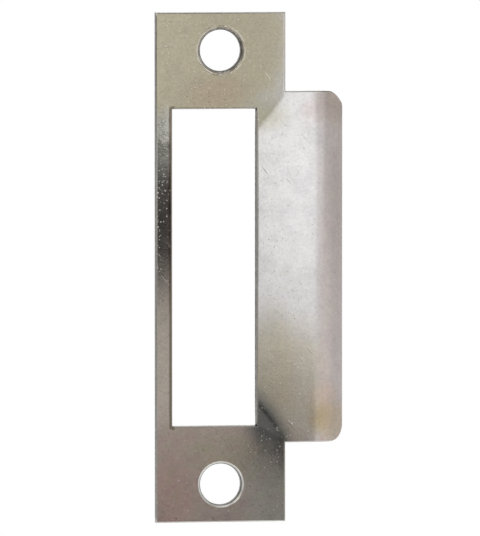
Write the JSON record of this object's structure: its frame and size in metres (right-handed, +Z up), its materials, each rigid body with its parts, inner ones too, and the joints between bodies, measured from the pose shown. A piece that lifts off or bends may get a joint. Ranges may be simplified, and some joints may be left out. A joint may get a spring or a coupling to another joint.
{
  "type": "mortice strike plate",
  "caption": "Flat steel strike plate for a mortice lock, with a tall opening for latch and bolt, bevelled screw holes and a lip curved back along one side.",
  "frame": {"origin": "on the back face, on the plate's middle line, midway between the screw holes", "axes": "+Z up along the plate, +X towards the lip, -Y out of the face that shows; the lip curves back towards +Y"},
  "size_m": [0.0464, 0.0059, 0.1238],
  "materials": {
    "plated_steel": "bright zinc plating over pressed steel, half gloss, finely pitted, with faint coloured passivation tints"
  },
  "bodies": {
    "root": {"strike_plate": "plated_steel"}
  },
  "joints": []
}
